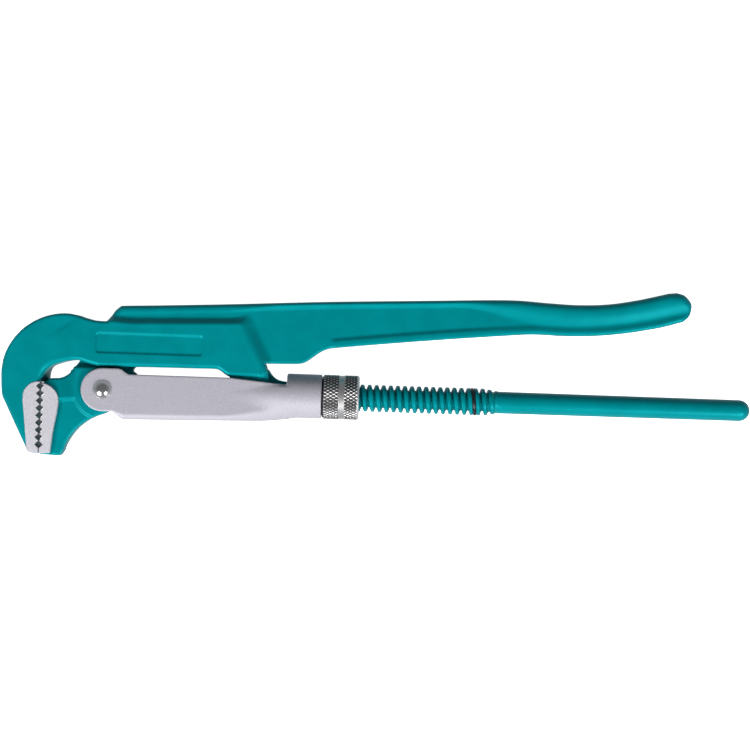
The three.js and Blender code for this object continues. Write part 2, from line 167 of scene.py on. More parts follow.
def flowing(points, steps=8):
    """A smooth curve through the points, as a draughtsman's spline would lie."""
    p = np.array([points[0], *points, points[-1]], float)
    out = []
    for a, b, c, d in zip(p, p[1:], p[2:], p[3:], strict=False):
        for t in np.arange(steps) / steps:
            square = (2 * a - 5 * b + 4 * c - d) * t**2
            cube = (3 * b - a - 3 * c + d) * t**3
            out.append(0.5 * (2 * b + (c - a) * t + square + cube))
    return [tuple(q) for q in out] + [tuple(p[-1])]


def block(low, high, voxel=VOXEL):
    """The x, y and z of every point of a block of steel between two corners, shaped to combine freely."""
    x, y, z = (np.arange(a, b + voxel, voxel, dtype=np.float32) for a, b in zip(low, high, strict=True))
    return x[:, None, None], y[None, :, None], z[None, None, :]


def from_outline(outline, x, y):
    """How far each point lies outside the closed outline, negative inside."""
    flat_x, flat_y = x[:, :, 0], y[:, :, 0]
    nearest = np.full((flat_x.shape[0], flat_y.shape[1]), 1e9, np.float32)
    inside = np.zeros(nearest.shape, bool)
    for (x0, y0), (x1, y1) in zip(outline, outline[1:] + outline[:1], strict=True):
        run, rise = x1 - x0, y1 - y0
        if run == 0 and rise == 0:
            continue
        share = np.clip(((flat_x - x0) * run + (flat_y - y0) * rise) / (run * run + rise * rise), 0, 1)
        np.minimum(nearest, (flat_x - x0 - share * run) ** 2 + (flat_y - y0 - share * rise) ** 2, out=nearest)
        if rise != 0:
            inside ^= ((y0 > flat_y) != (y1 > flat_y)) & (flat_x < run * (flat_y - y0) / rise + x0)
    return (np.where(inside, -1, 1) * np.sqrt(nearest))[:, :, None]


def plate(edge, z, half, rounding):
    """A plate that ends where edge is 0 and z is half, with rounded edges."""
    across = edge + rounding
    up = np.abs(z) - half + rounding
    outside = np.hypot(np.maximum(across, 0), np.maximum(up, 0))
    return np.minimum(np.maximum(across, up), 0) + outside - rounding


def joined(a, b, fillet):
    """Two shapes run together with a forging's fillet between them."""
    share = np.clip(0.5 + 0.5 * (b - a) / fillet, 0, 1)
    return b * (1 - share) + a * share - fillet * share * (1 - share)


def overlap(a, b, rounding):
    return -joined(-a, -b, rounding)


def ease(value, start, end):
    t = np.clip((value - start) / (end - start), 0, 1)
    return t * t * (3 - 2 * t)


def finish_mesh(name, mesh, material, sharp=38):
    mesh.materials.clear()
    mesh.materials.append(material)
    mesh.shade_smooth()
    mesh.set_sharp_from_angle(angle=math.radians(sharp))
    piece = bpy.data.objects.new(name, mesh)
    bpy.context.scene.collection.objects.link(piece)
    return piece


def forge(name, field, low, material, voxel=VOXEL):
    """A piece whose skin lies where the field is 0, for a block whose first point is low."""
    grid = openvdb.FloatGrid(background=3.0 * voxel)
    grid.copyFromArray(np.clip(field, -3 * voxel, 3 * voxel).astype(np.float64))
    grid.transform = openvdb.createLinearTransform(voxelSize=voxel)
    points, faces = grid.convertToQuads(isovalue=0.0)
    mesh = bpy.data.meshes.new(name)
    points = (points + np.array(low)) * MM + np.array(RIVET_AXIS)
    mesh.from_pydata(points.tolist(), [], faces[:, ::-1].tolist())
    mesh.update()
    return finish_mesh(name, mesh, material)


def prism(name, outline, low_z, high_z, material, chamfer=0.0):
    """A straight block of the outline between two heights, its rims broken by the chamfer."""
    shape = bmesh.new()
    points = [place(x, y, low_z) for x, y in outline]
    face = shape.faces.new([shape.verts.new(p) for p in points])
    lifted = bmesh.ops.extrude_face_region(shape, geom=[face])
    top = [v for v in lifted["geom"] if isinstance(v, bmesh.types.BMVert)]
    bmesh.ops.translate(shape, verts=top, vec=(0, 0, (high_z - low_z) * MM))
    bmesh.ops.recalc_face_normals(shape, faces=shape.faces)
    if chamfer:
        rims = [e for e in shape.edges if abs(e.verts[0].co.z - e.verts[1].co.z) < 1e-7]
        bmesh.ops.bevel(shape, geom=rims, offset=chamfer * MM, segments=2, affect="EDGES", clamp_overlap=True)
    bmesh.ops.triangulate(shape, faces=[f for f in shape.faces if len(f.verts) > 4])
    mesh = bpy.data.meshes.new(name)
    shape.to_mesh(mesh)
    shape.free()
    return finish_mesh(name, mesh, material)


def machine(piece, cutters, operation):
    """Cuts the cutters out of the piece, or welds them on; new faces keep the cutter's own finish."""
    for cutter in cutters:
        step = piece.modifiers.new("machining", "BOOLEAN")
        step.object = cutter
        step.operation = operation
        step.solver = "MANIFOLD"
        step.material_mode = "TRANSFER"
    machined = bpy.data.meshes.new_from_object(piece.evaluated_get(bpy.context.evaluated_depsgraph_get()))
    piece.modifiers.clear()
    piece.data = machined
    machined.shade_smooth()
    machined.set_sharp_from_angle(angle=math.radians(38))
    for cutter in cutters:
        bpy.data.objects.remove(cutter)


def shader_of(material):
    return material.node_tree.nodes["Principled BSDF"]


def add_node(material, kind, **values):
    """A shader node with the named inputs or settings filled in."""
    node = material.node_tree.nodes.new(kind)
    for key, value in values.items():
        if key in node.inputs:
            node.inputs[key].default_value = value
        else:
            setattr(node, key, value)
    return node


def link(material, source, out, target, into):
    material.node_tree.links.new(source.outputs[out], target.inputs[into])


def speckle(material, scale, detail=2.0):
    """Noise fixed to the piece, with its size given as grains to the metre."""
    where = add_node(material, "ShaderNodeTexCoord")
    noise = add_node(material, "ShaderNodeTexNoise", Scale=scale, Detail=detail)
    link(material, where, "Object", noise, "Vector")
    return noise


def tint(material, noise, dark, light, low=0.35, high=0.65):
    ramp = add_node(material, "ShaderNodeValToRGB")
    ramp.color_ramp.elements[0].position = low
    ramp.color_ramp.elements[0].color = (*dark, 1)
    ramp.color_ramp.elements[1].position = high
    ramp.color_ramp.elements[1].color = (*light, 1)
    link(material, noise, "Fac", ramp, "Fac")
    link(material, ramp, "Color", shader_of(material), "Base Color")


def vary_roughness(material, noise, smooth, rough):
    spread = add_node(material, "ShaderNodeMapRange")
    spread.inputs["To Min"].default_value = smooth
    spread.inputs["To Max"].default_value = rough
    link(material, noise, "Fac", spread, "Value")
    link(material, spread, "Result", shader_of(material), "Roughness")


def dimple(material, noise, strength, height):
    bump = add_node(material, "ShaderNodeBump", Strength=strength, Distance=height)
    link(material, noise, "Fac", bump, "Height")
    link(material, bump, "Normal", shader_of(material), "Normal")


def teal_enamel():
    enamel = bpy.data.materials.new("teal_enamel")
    enamel.use_nodes = True
    shader = shader_of(enamel)
    shader.inputs["Specular Tint"].default_value = (0.02, 0.85, 0.95, 1)
    shader.inputs["Specular IOR Level"].default_value = 0.45
    tint(enamel, speckle(enamel, 90), (0.0, 0.185, 0.207), (0.0, 0.205, 0.229))
    vary_roughness(enamel, speckle(enamel, 260), 0.3, 0.42)
    dimple(enamel, speckle(enamel, 900, 1.0), 0.12, 0.00008)
    return enamel


def ground_steel():
    """Steel ground with a fine wheel, which leaves short faint scratches along the jaw."""
    steel = bpy.data.materials.new("ground_steel")
    steel.use_nodes = True
    shader = shader_of(steel)
    shader.inputs["Metallic"].default_value = 0.75
    where = add_node(steel, "ShaderNodeTexCoord")
    stretch = add_node(steel, "ShaderNodeMapping")
    stretch.inputs["Scale"].default_value = (3200, 1300, 1300)
    scratches = add_node(steel, "ShaderNodeTexNoise", Scale=1.0, Detail=3.0)
    link(steel, where, "Object", stretch, "Vector")
    link(steel, stretch, "Vector", scratches, "Vector")
    tint(steel, scratches, (0.62, 0.605, 0.655), (0.74, 0.725, 0.78))
    vary_roughness(steel, scratches, 0.42, 0.58)
    dimple(steel, scratches, 0.15, 0.00004)
    return steel


TEAL_ENAMEL = teal_enamel()
GROUND_STEEL = ground_steel()

GRIP_TIP_X = 317.1
TOP_EDGE = flowing([(1.1, 38.9), (3.8, 42.7), (5.4, 45.0), (8.1, 47.2), (10.3, 47.7), (30.6, 48.6),
    (72.7, 50.7), (123.3, 53.6), (182.3, 56.2), (216.0, 57.7), (232.9, 58.0), (249.8, 57.1), (266.7, 56.6),
    (283.5, 57.6), (300.3, 60.6), (GRIP_TIP_X, 64.8)])
HANDLE_END = flowing([(321.8, 65.3), (326.3, 63.9), (329.9, 59.8), (330.2, 56.3), (329.0, 52.2),
    (325.6, 48.9)])
GRIP_LOW_TIP_X = 317.7
LOW_EDGE = flowing([(90.6, 17.6), (104.0, 17.9), (109.9, 18.2), (113.3, 19.3), (116.3, 21.3), (120.6, 24.5),
    (124.7, 26.6), (132.6, 28.1), (183.0, 33.7), (225.1, 37.8), (241.9, 39.1), (258.8, 38.8), (275.7, 39.4),
    (292.5, 41.3), (309.3, 44.4), (GRIP_LOW_TIP_X, 46.5)])
BOSS_FOOT = [(91.6, 15.6), (91.9, 13.4), (90.6, 11.0), (88.5, 10.0), (78.0, 16.0), (70.0, 31.0)]
THROAT_FRONT = [(-35.2, 4.6), (-34.2, 6.8), (-32.7, 9.2), (-30.4, 11.6)]
THROAT_BACK = [(-33.3, 3.5), (-31.9, 5.0), (-31.6, 7.2), (-31.2, 9.6), (-29.9, 11.9)]


def head_outline(throat):
    """Round the hook and the boss; the throat's wall leans, so its front and its back differ."""
    hook_x, hook_y, hook_radius = -21.4, 5.2, 37.1
    back = flowing([(-57.9, 9.5), (-57.8, 4.0), (-57.1, -4.4), (-55.3, -8.5)])
    foot = flowing([(-42.7, -33.2), (-41.8, -35.4), (-39.7, -36.8), (HOOK_CREST_X, -37.1)])
    mouth = flowing([(HOOK_CREST_X, 2.8), *throat, (-27.1, 13.5), (-20.8, 15.5), (-16.2, 16.1),
        (-13.0, 15.8), (-10.5, 15.0), (-4.8, 13.5), (-0.3, 12.9), (23.3, 13.4), (48.6, 13.6), (62.1, 13.7),
        (65.5, 12.9), (67.8, 11.3), (70.2, 9.8)])
    boss_end = flowing([(89.0, 9.8), (89.8, 11.6), (88.7, 15.8), (86.8, 19.2), (82.5, 27.2), (78.6, 34.8),
        (77.2, 38.6), (75.6, 39.5), (70.0, 39.4)], 5)
    hook_top = flowing([(3.0, 38.5), (-5.1, 38.8), (-11.9, 40.3), (-15.3, 41.4), (-19.9, 42.2)])
    return [*arc(hook_x, hook_y, hook_radius, 92, 165, 40), *back, *foot, *mouth, *boss_end, (15.0, 37.7),
        *hook_top]


HEAD = head_outline(THROAT_FRONT)
HEAD_BACK = head_outline(THROAT_BACK)


def hook_and_boss(x, y, z, edge):
    """The thick end of the leg: its back slopes to a rim, and a soft step crosses the hook."""
    back_x, back_slope, back_bend = -46.8, 0.16, 0.8
    half = BOSS_HALF - back_slope * back_bend * np.log1p(np.exp((back_x - x) / back_bend))
    step_x, step_y = (x + 22.5), (y - 34.4)
    beyond = -0.56 * step_x + 0.83 * step_y
    beside = 0.83 * step_x + 0.56 * step_y
    fading = np.exp(-np.maximum(beyond, 0) / 9.0) * np.exp(-((beside / 8.0) ** 2))
    half = half - 0.5 * ease(beyond, -1.6, 1.6) * fading
    panel_x, panel_y, panel_half_length, panel_half_width, panel_corner = 25.35, 26.4, 30.15, 5.8, 1.8
    past_end = np.maximum(np.abs(x - panel_x) - panel_half_length + panel_corner, 0)
    past_side = np.maximum(np.abs(y - panel_y) - panel_half_width + panel_corner, 0)
    panel_edge = np.hypot(past_end, past_side) - panel_corner
    sunk = PANEL_DEPTH * ease(-panel_edge, -0.45, 1.0)
    front_half = half - np.where(z > 0, sunk, 0)
    throat_wall = np.exp(-(((x + 33.0) / 7.0) ** 2) - ((y - 10.0) / 6.0) ** 2)
    behind = from_outline(HEAD_BACK, x, y)
    leaning = behind + (edge - behind) * ease(z, -6.5, 5.5)
    rounding = 1.9 + 0.6 * ease(-y, -20.0, -15.0) + 1.2 * throat_wall * ease(z, -2.0, 2.0)
    return plate(leaning, z, front_half, rounding)


def handle(x, y, z, edge, from_boss):
    """The rail and the handle: a web between two flanges, of which the upper one swells into the grip."""
    tip_slope = 0.22
    top = np.interp(x, *np.array(TOP_EDGE).T) + np.maximum(x - GRIP_TIP_X, 0) * tip_slope
    low = np.interp(x, *np.array(LOW_EDGE).T) + np.maximum(x - GRIP_LOW_TIP_X, 0) * tip_slope
    height = np.maximum(top - low, 4.0)
    below, above = top - y, y - low
    swell = ease(x, 198.0, 252.0)
    rail = 1 - ease(x, 66.0, 100.0)
    web = WEB_HALF + 1.0 * rail
    brow = 1.2 + 2.3 * rail + (0.27 * height - 1.2) * swell
    foot = 4.4 + 0.7 * rail + (0.8 * height - 4.4) * swell
    upper_rise = FLANGE_HALF + 0.6 * swell - 0.4 * rail - web
    upper = upper_rise * (1 - ease(below, brow, foot)) * ease(x, 6.5, 10.5)
    lip = 1 - ease(above, 3.0 - 1.2 * swell, 6.0 - 0.2 * swell)
    lower = (1.2 - 0.1 * swell) * lip * ease(x, 126.0, 130.5)
    half = web + upper + lower
    reach = 3.6 + 4.2 * ease(x, 73.0, 83.0)
    half = half + (BOSS_HALF - half) * (1 - ease(from_boss, -0.6, reach))
    rounding = 1.3 + (1.6 + 0.9 * swell) * ease(above / height, 0.3, 0.7) + 0.6 * swell
    return plate(edge, z, half, rounding + 0.6 * ease(x, 310.0, 324.0))


def round_hole(name, x, y, material, reach=12):
    """A cutter for a hole of the shank's size, right through the piece."""
    return prism(name, arc(x, y, SHANK_HOLE, 0, 360, 48)[1:], -reach, reach, material)


def upper_leg():
    low, high = (-60.0, -40.0, -10.0), (332.0, 68.0, 10.0)
    x, y, z = block(low, high)
    lug_outline = [*arc(PIN_X, PIN_Y, 10.0, -180, 0, 40), (93.0, 10.0), (92.0, 14.0), (71.0, 14.0),
        (71.0, 9.5)]
    lug = plate(from_outline(lug_outline, x, y), z, LUG_HALF, 0.8)
    head_edge = from_outline(HEAD, x, y)
    handle_outline = [*TOP_EDGE, *HANDLE_END, *LOW_EDGE[::-1], *BOSS_FOOT, (3.0, 31.0)]
    handle_edge = from_outline(handle_outline, x, y)
    head = hook_and_boss(x, y, z, head_edge)
    fillet = 0.05 + 0.95 * ease(head_edge, -2.5, 0.0)
    steel = joined(head, handle(x, y, z, handle_edge, head_edge), fillet)
    steel = np.maximum(steel, np.minimum(head_edge, handle_edge) - 0.05)
    leg = forge("upper_leg_forging", joined(np.minimum(head, steel), lug, 0.5), low, TEAL_ENAMEL)
    pad_top = flowing([(-38.6, 3.1), (-40.5, 2.1), (-42.7, 0.0), (-44.3, -2.8), (-44.6, -7.3)], 5)
    pad = [(HOOK_CREST_X, 3.3), (-36.9, 3.45), *pad_top, (-42.7, -24.2), (-41.4, -36.0),
        (HOOK_CREST_X, -36.9)]
    machine(leg, [prism("pad", pad, -PAD_HALF, PAD_HALF, GROUND_STEEL, PAD_CHAMFER)], "UNION")
    slot = [(-28, 5), (-20, 17), (-15, 24.5), (-8, 26.5), (78, 26.5), (88, 17.2), (97, 16.6), (97, -12),
        (60, -12), (60, 5)]
    cutters = [prism("slot", slot, -SLOT_HALF, SLOT_HALF, TEAL_ENAMEL)]
    cutters.append(round_hole("pin_hole", PIN_X, PIN_Y, GROUND_STEEL))
    cutters += tooth_cutters(HOOK_CREST_X, -1)
    machine(leg, cutters, "DIFFERENCE")
    return leg


def tooth_cutters(crest_x, into):
    """One three-sided cutter for each gap between the teeth; into is the way into the jaw along X. They lean,
    so that each tooth is higher at the back than at the front."""
    clear = 0.4
    half = TOOTH_PITCH / 2
    widen = half * clear / TOOTH_DEPTH
    mouth_x = crest_x - into * clear
    cutters = []
    for i in range(TOOTH_COUNT):
        y = FIRST_GULLET_Y - i * TOOTH_PITCH
        gap = [(mouth_x, y + half + widen), (crest_x + into * TOOTH_DEPTH, y), (mouth_x, y - half - widen)]
        cutter = prism(f"tooth_{i}", gap, -PAD_HALF - 1, PAD_HALF + 1, TEAL_ENAMEL)
        for corner in cutter.data.vertices:
            height = (corner.co.z - RIVET_AXIS.z) / MM
            corner.co.y -= TOOTH_SLANT * (height / PAD_HALF - 1) / 2 * MM
        cutters.append(cutter)
    return cutters


leg = upper_leg()
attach(leg, "upper_leg")
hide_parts("upper_leg")


# ---- Leg pin ----
# A short pin of bright drawn bar through the lug and the lower leg's eye. It is pressed into the lug
# cheeks before the yoke goes over them, so nothing of it shows from outside.
def wrap(name, rings, material, sharp=38):
    """A closed skin over a row of rings, each a loop of points in mm from the rivet's middle."""
    rings = np.asarray(rings, float)
    count, sides = rings.shape[:2]
    here = np.arange(count - 1)[:, None] * sides + np.arange(sides)[None, :]
    beside = np.arange(count - 1)[:, None] * sides + (np.arange(sides)[None, :] + 1) % sides
    walls = np.stack([here, beside, beside + sides, here + sides], -1).reshape(-1, 4)
    ends = [list(range(sides))[::-1], [(count - 1) * sides + i for i in range(sides)]]
    mesh = bpy.data.meshes.new(name)
    points = rings.reshape(-1, 3) * MM + np.array(RIVET_AXIS)
    mesh.from_pydata(points.tolist(), [], walls.tolist() + ends)
    mesh.update()
    return finish_mesh(name, mesh, material, sharp)


def turned_upright(name, x, y, profile, material, sides=64):
    """A body turned about an upright axis through x, y from (radius, z) points that climb."""
    angles = np.linspace(0, 2 * math.pi, sides, endpoint=False)
    rings = [[(x + r * math.cos(a), y + r * math.sin(a), z) for a in angles] for r, z in profile]
    return wrap(name, rings, material)


def polished_steel():
    steel = bpy.data.materials.new("polished_steel")
    steel.use_nodes = True
    shader = shader_of(steel)
    shader.inputs["Metallic"].default_value = 1.0
    tint(steel, speckle(steel, 700), (0.62, 0.62, 0.63), (0.72, 0.72, 0.73))
    vary_roughness(steel, speckle(steel, 500), 0.14, 0.26)
    dimple(steel, speckle(steel, 350, 1.0), 0.1, 0.0001)
    return steel


POLISHED_STEEL = polished_steel()
PIN_HALF = 7.2
PIN_RADIUS = 4.0
rounded_end = [(PIN_RADIUS - 0.8, PIN_HALF), (PIN_RADIUS - 0.3, PIN_HALF - 0.15),
    (PIN_RADIUS, PIN_HALF - 0.6)]
pin_profile = [(r, -z) for r, z in rounded_end] + rounded_end[::-1]
pin = turned_upright("leg_pin_turned", PIN_X, PIN_Y, pin_profile, POLISHED_STEEL)
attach(pin, "upper_leg")
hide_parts("leg_pin")


# ---- Lower leg ----
# Round bar with one end forged into a flat eye with a shoulder. A coarse right-hand knuckle thread is
# rolled on behind the eye and dies away into the plain handle, whose end is rounded. Teal enamel all over.
TONGUE_HALF = 3.7
THREAD_PITCH = 4.0
THREAD_MIDDLE = 6.45
THREAD_SWELL = 1.25
THREAD_ROOT = THREAD_MIDDLE - THREAD_SWELL
THREAD_START_X = 116.0
THREAD_FADE_X = 213.0
THREAD_END_X = 225.0
BAR_RADIUS = 6.2
BAR_TIP_RADIUS = 6.0
BAR_END_X = 365.3
EYE_RADIUS = 9.2
FINE_VOXEL = 0.4  # for the smaller pieces, whose fillets are tighter


def thread_wave(x, angles):
    """1 on the thread's broad crests and -1 in its narrower valleys, wound right-handed round the bar."""
    crest_breadth = 0.42
    wave = -np.cos(2 * math.pi * x / THREAD_PITCH - angles)
    wave = wave + crest_breadth * (1 - wave**2)
    return wave * (1.5 - 0.5 * wave**2)


def flat_eye():
    low, high = (72.0, -11.0, -7.0), (126.0, 17.0, 7.0)
    x, y, z = block(low, high, FINE_VOXEL)
    neck_low = flowing([(93, -7.6), (101, -5.4), (108, -4.5)])
    shoulder = flowing([(104, 7.7), (98.3, 8.7), (94.9, 11.1), (92.7, 14.1), (90.6, 14.8), (88.4, 13.0),
        (87.4, 10.4)])
    outline = [*arc(PIN_X, PIN_Y, EYE_RADIUS, 75, 285, 50), *neck_low, (108, 4.5), *shoulder]
    flat = plate(from_outline(outline, x, y), z, TONGUE_HALF, 0.8)
    bar = np.maximum(np.hypot(y, z) - THREAD_ROOT, np.maximum(101.0 - x, x - 120.0))
    return forge("flat_eye", joined(flat, bar, 2.5), low, TEAL_ENAMEL, FINE_VOXEL)


def ring_of(x, radii, angles):
    """A loop of points round the screw's axis at x."""
    return np.stack([np.full(len(angles), x), radii * np.cos(angles), radii * np.sin(angles)], -1)


def threaded_bar():
    """The bar from behind the eye to its rounded tip, with the thread as a wave wound round it."""
    sides, steps_a_turn = 72, 22
    angles = np.linspace(0, 2 * math.pi, sides, endpoint=False)
    rings = [ring_of(THREAD_START_X, r, angles) for r in (0.5, THREAD_ROOT - 0.3)]
    for x in np.arange(THREAD_START_X + 0.05, THREAD_END_X + 2, THREAD_PITCH / steps_a_turn):
        plain = ease(x, THREAD_FADE_X, THREAD_END_X)
        grown = ease(x, THREAD_START_X, THREAD_START_X + 3)
        radius = THREAD_MIDDLE + (BAR_RADIUS - THREAD_MIDDLE) * plain
        radii = radius + THREAD_SWELL * (1 - plain) * (thread_wave(x, angles) * grown - (1 - grown))
        rings.append(ring_of(x, radii, angles))
    handle_start = THREAD_END_X + 3
    tip_start = BAR_END_X - BAR_TIP_RADIUS
    for x in np.linspace(handle_start, tip_start, 40):
        along = (x - handle_start) / (tip_start - handle_start)
        rings.append(ring_of(x, BAR_RADIUS + (BAR_TIP_RADIUS - BAR_RADIUS) * along, angles))
    for bend in np.radians(np.linspace(8, 88, 14)):
        x = tip_start + BAR_TIP_RADIUS * math.sin(bend)
        rings.append(ring_of(x, BAR_TIP_RADIUS * math.cos(bend), angles))
    return wrap("threaded_bar", rings, TEAL_ENAMEL)


lower_leg = threaded_bar()
lower_leg.name = "lower_leg_bar"
machine(lower_leg, [flat_eye()], "UNION")
machine(lower_leg, [round_hole("eye_hole", PIN_X, PIN_Y, GROUND_STEEL)], "DIFFERENCE")
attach(lower_leg, "lower_leg")
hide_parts("lower_leg")


# ---- Stop ring on the thread ----
# A turn of blackened spring wire, snapped into the thread's valley near its end. It lies along the
# thread, open at one side, and keeps the nut from running off.
def wire_ring(name, middle_x, radius, advance, from_turn, to_turn, wire_radius, material):
    """Round wire along part of a helix about the screw's axis, with domed ends."""
    sides, steps = 20, 120
    around = np.linspace(0, 2 * math.pi, sides, endpoint=False)
    rings = []
    dome = np.linspace(0, 1, 6)[1:-1]
    sizes = [*np.sqrt(1 - (1 - dome) ** 2), *np.ones(steps), *np.sqrt(1 - dome**2)]
    end_turn = wire_radius / radius / (2 * math.pi)
    lead_in = from_turn - end_turn * (1 - dome)
    turns = [*lead_in, *np.linspace(from_turn, to_turn, steps), *(to_turn + end_turn * dome)]
    for turn, size in zip(turns, sizes, strict=True):
        angle = turn * 2 * math.pi
        centre = np.array((middle_x + advance * turn, radius * math.cos(angle), radius * math.sin(angle)))
        outward = np.array((0, math.cos(angle), math.sin(angle)))
        sideways = np.array((1, 0, 0))
        r = wire_radius * size
        rings.append([centre + r * (math.cos(b) * sideways + math.sin(b) * outward) for b in around])
    return wrap(name, rings, material)


def black_wire():
    wire = bpy.data.materials.new("black_wire")
    wire.use_nodes = True
    shader = shader_of(wire)
    shader.inputs["Metallic"].default_value = 0.6
    tint(wire, speckle(wire, 1500), (0.010, 0.011, 0.013), (0.035, 0.036, 0.04))
    vary_roughness(wire, speckle(wire, 900), 0.22, 0.4)
    return wire


BLACK_WIRE = black_wire()
VALLEY_X = 208.0  # a whole number of pitches, where the valley passes the upper side
STOP_RING_RADIUS = 6.9
STOP_WIRE_RADIUS = 0.95
stop_ring = wire_ring("stop_ring_wire", VALLEY_X, STOP_RING_RADIUS, advance=THREAD_PITCH,
    from_turn=-0.03, to_turn=0.8, wire_radius=STOP_WIRE_RADIUS, material=BLACK_WIRE)
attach(stop_ring, "lower_leg")
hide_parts("thread_stop_ring")


# ---- Yoke ----
# Mild steel sheet pressed into a channel whose back edge is rolled into a sleeve for the nut, with two
# ears for the jaw rivet. It is tumbled and then plated satin silver, so its rims and bends are soft.
EAR_RADIUS = 12.1
YOKE_HALF = 10.0
YOKE_INNER_HALF = 7.95
SLEEVE_START_X = 103.4
SLEEVE_END_X = 123.1
SLEEVE_RADIUS = 12.5
SLEEVE_BORE = 10.0
KEEPER_X = 118.5


def satin_silver():
    silver = bpy.data.materials.new("satin_silver")
    silver.use_nodes = True
    shader = shader_of(silver)
    shader.inputs["Metallic"].default_value = 0.15
    tint(silver, speckle(silver, 1400, 3.0), (0.355, 0.345, 0.391), (0.418, 0.406, 0.454))
    vary_roughness(silver, speckle(silver, 1100), 0.46, 0.6)
    dimple(silver, speckle(silver, 1700, 2.0), 0.25, 0.00006)
    return silver


def channel(x, y, z):
    """The channel's outer shape, and the room inside it for the lug, the eye and the lower jaw."""
    low_start = flowing([(5.6, -12.0), (10.8, -15.9), (12.5, -16.5)], 6)
    low_end = flowing([(90.1, -14.9), (97.4, -14.2), (103.6, -12.8), (107.0, -11.0)], 6)
    rim = flowing([(102.8, 6.15), (101.0, 6.35), (74.1, 8.8), (70.1, 9.0), (17.8, 9.0), (14.6, 9.2),
        (12.6, 10.2), (10.6, 11.7), (8.7, 12.15)], 6)
    side = [*arc(0, 0, EAR_RADIUS, 90, 272, 60), *low_start, (55.2, -15.7), *low_end, (107.0, 6.0), *rim]
    edge = from_outline(side, x, y)
    low_part = ease(-y, -2.0, 8.0)
    floor_bend = 3.1 * ease(x, 4.0, 14.0) * low_part
    rolling = 5.4 * ease(x, 66.0, 106.0) * low_part  # the sheet bends ever rounder towards the sleeve
    outer = plate(edge, z, YOKE_HALF, 0.5 + floor_bend + rolling)
    room_outline = [(-20, -11.5), (7, -12.0), (10.5, -14.1), (90, -12.6), (98, -12.0), (104.5, -11.0),
        (104.5, 9.0), (102.5, 9.0), (102.5, 20), (-20, 20)]
    room = plate(from_outline(room_outline, x, y), z, YOKE_INNER_HALF, 0.5 + rolling)
    jaw_room = np.maximum(np.hypot(x, y) - EAR_RADIUS - 1.3, np.abs(z) - YOKE_INNER_HALF)
    return outer, np.minimum(room, jaw_room)


def yoke():
    low, high = (-13.5, -18.0, -13.5), (124.5, 14.0, 13.5)
    x, y, z = block(low, high, FINE_VOXEL)
    from_axis = np.hypot(y, z)
    sleeve_middle = (SLEEVE_START_X + SLEEVE_END_X) / 2
    sleeve_half = (SLEEVE_END_X - SLEEVE_START_X) / 2
    tube = plate(from_axis - SLEEVE_RADIUS, x - sleeve_middle, sleeve_half, 0.7)
    flare_radius, flare_start_x = 7.8, 74.0
    grown = ease(x, flare_start_x, 105.0)
    flare = from_axis - flare_radius - (SLEEVE_RADIUS - flare_radius) * grown
    flare = overlap(flare, np.maximum(y - 5.8, np.maximum(flare_start_x - x, x - 107.0)), 1.5)
    outer, room = channel(x, y, z)
    shell = joined(outer, joined(flare, tube, 0.4), 1.2 + 2.0 * ease(-y, -7.0, 0.0))
    bore = np.maximum(from_axis - SLEEVE_BORE, 103.0 - x)
    groove = np.maximum(from_axis - SLEEVE_BORE - 0.9, np.abs(x - KEEPER_X) - 1.1)
    skin = overlap(shell, -np.minimum(np.minimum(room, bore), groove), 0.4)
    pressing = forge("yoke_pressing", skin, low, SATIN_SILVER, FINE_VOXEL)
    machine(pressing, [round_hole("rivet_hole", 0, 0, SATIN_SILVER, reach=14)], "DIFFERENCE")
    return pressing


SATIN_SILVER = satin_silver()
pressing = yoke()
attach(pressing, "yoke")
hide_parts("yoke")


# ---- Jaw rivet ----
# A solid steel rivet through the ears and the lower jaw, headed at both ends into smooth domes and
# polished bright.
HEAD_RADIUS = 5.2
HEAD_SEAT = YOKE_HALF + 0.05
HEAD_TOP = 13.0


def rivet_profile():
    """The whole rivet from tip to tip: each half has the shank, the flat under the head, and the dome."""
    half = [(PIN_RADIUS, 0.4), (PIN_RADIUS, HEAD_SEAT - 0.2), (4.2, HEAD_SEAT), (4.9, HEAD_SEAT),
        (5.1, HEAD_SEAT + 0.1)]
    seat = HEAD_SEAT + 0.2
    rise = HEAD_TOP - seat
    sphere = (HEAD_RADIUS**2 + rise**2) / (2 * rise)
    for tilt in np.linspace(math.asin(HEAD_RADIUS / sphere), 0.02, 16):
        half.append((sphere * math.sin(tilt), HEAD_TOP - sphere * (1 - math.cos(tilt))))
    return [(r, -z) for r, z in half[::-1]] + half


rivet = turned_upright("jaw_rivet_domed", 0, 0, rivet_profile(), POLISHED_STEEL)
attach(rivet, "yoke")
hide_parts("jaw_rivet")


# ---- Lower jaw ----
# A second forging: a toothed nose, a round cheek that turns between the yoke's ears, and a thin tongue
# that rides in the upper leg's slot. Enamelled like the legs, with its toothed face ground bare.
JAW_CREST_X = HOOK_CREST_X + 0.5
CHEEK_HALF = 7.4
HOLLOW_HALF = 6.0


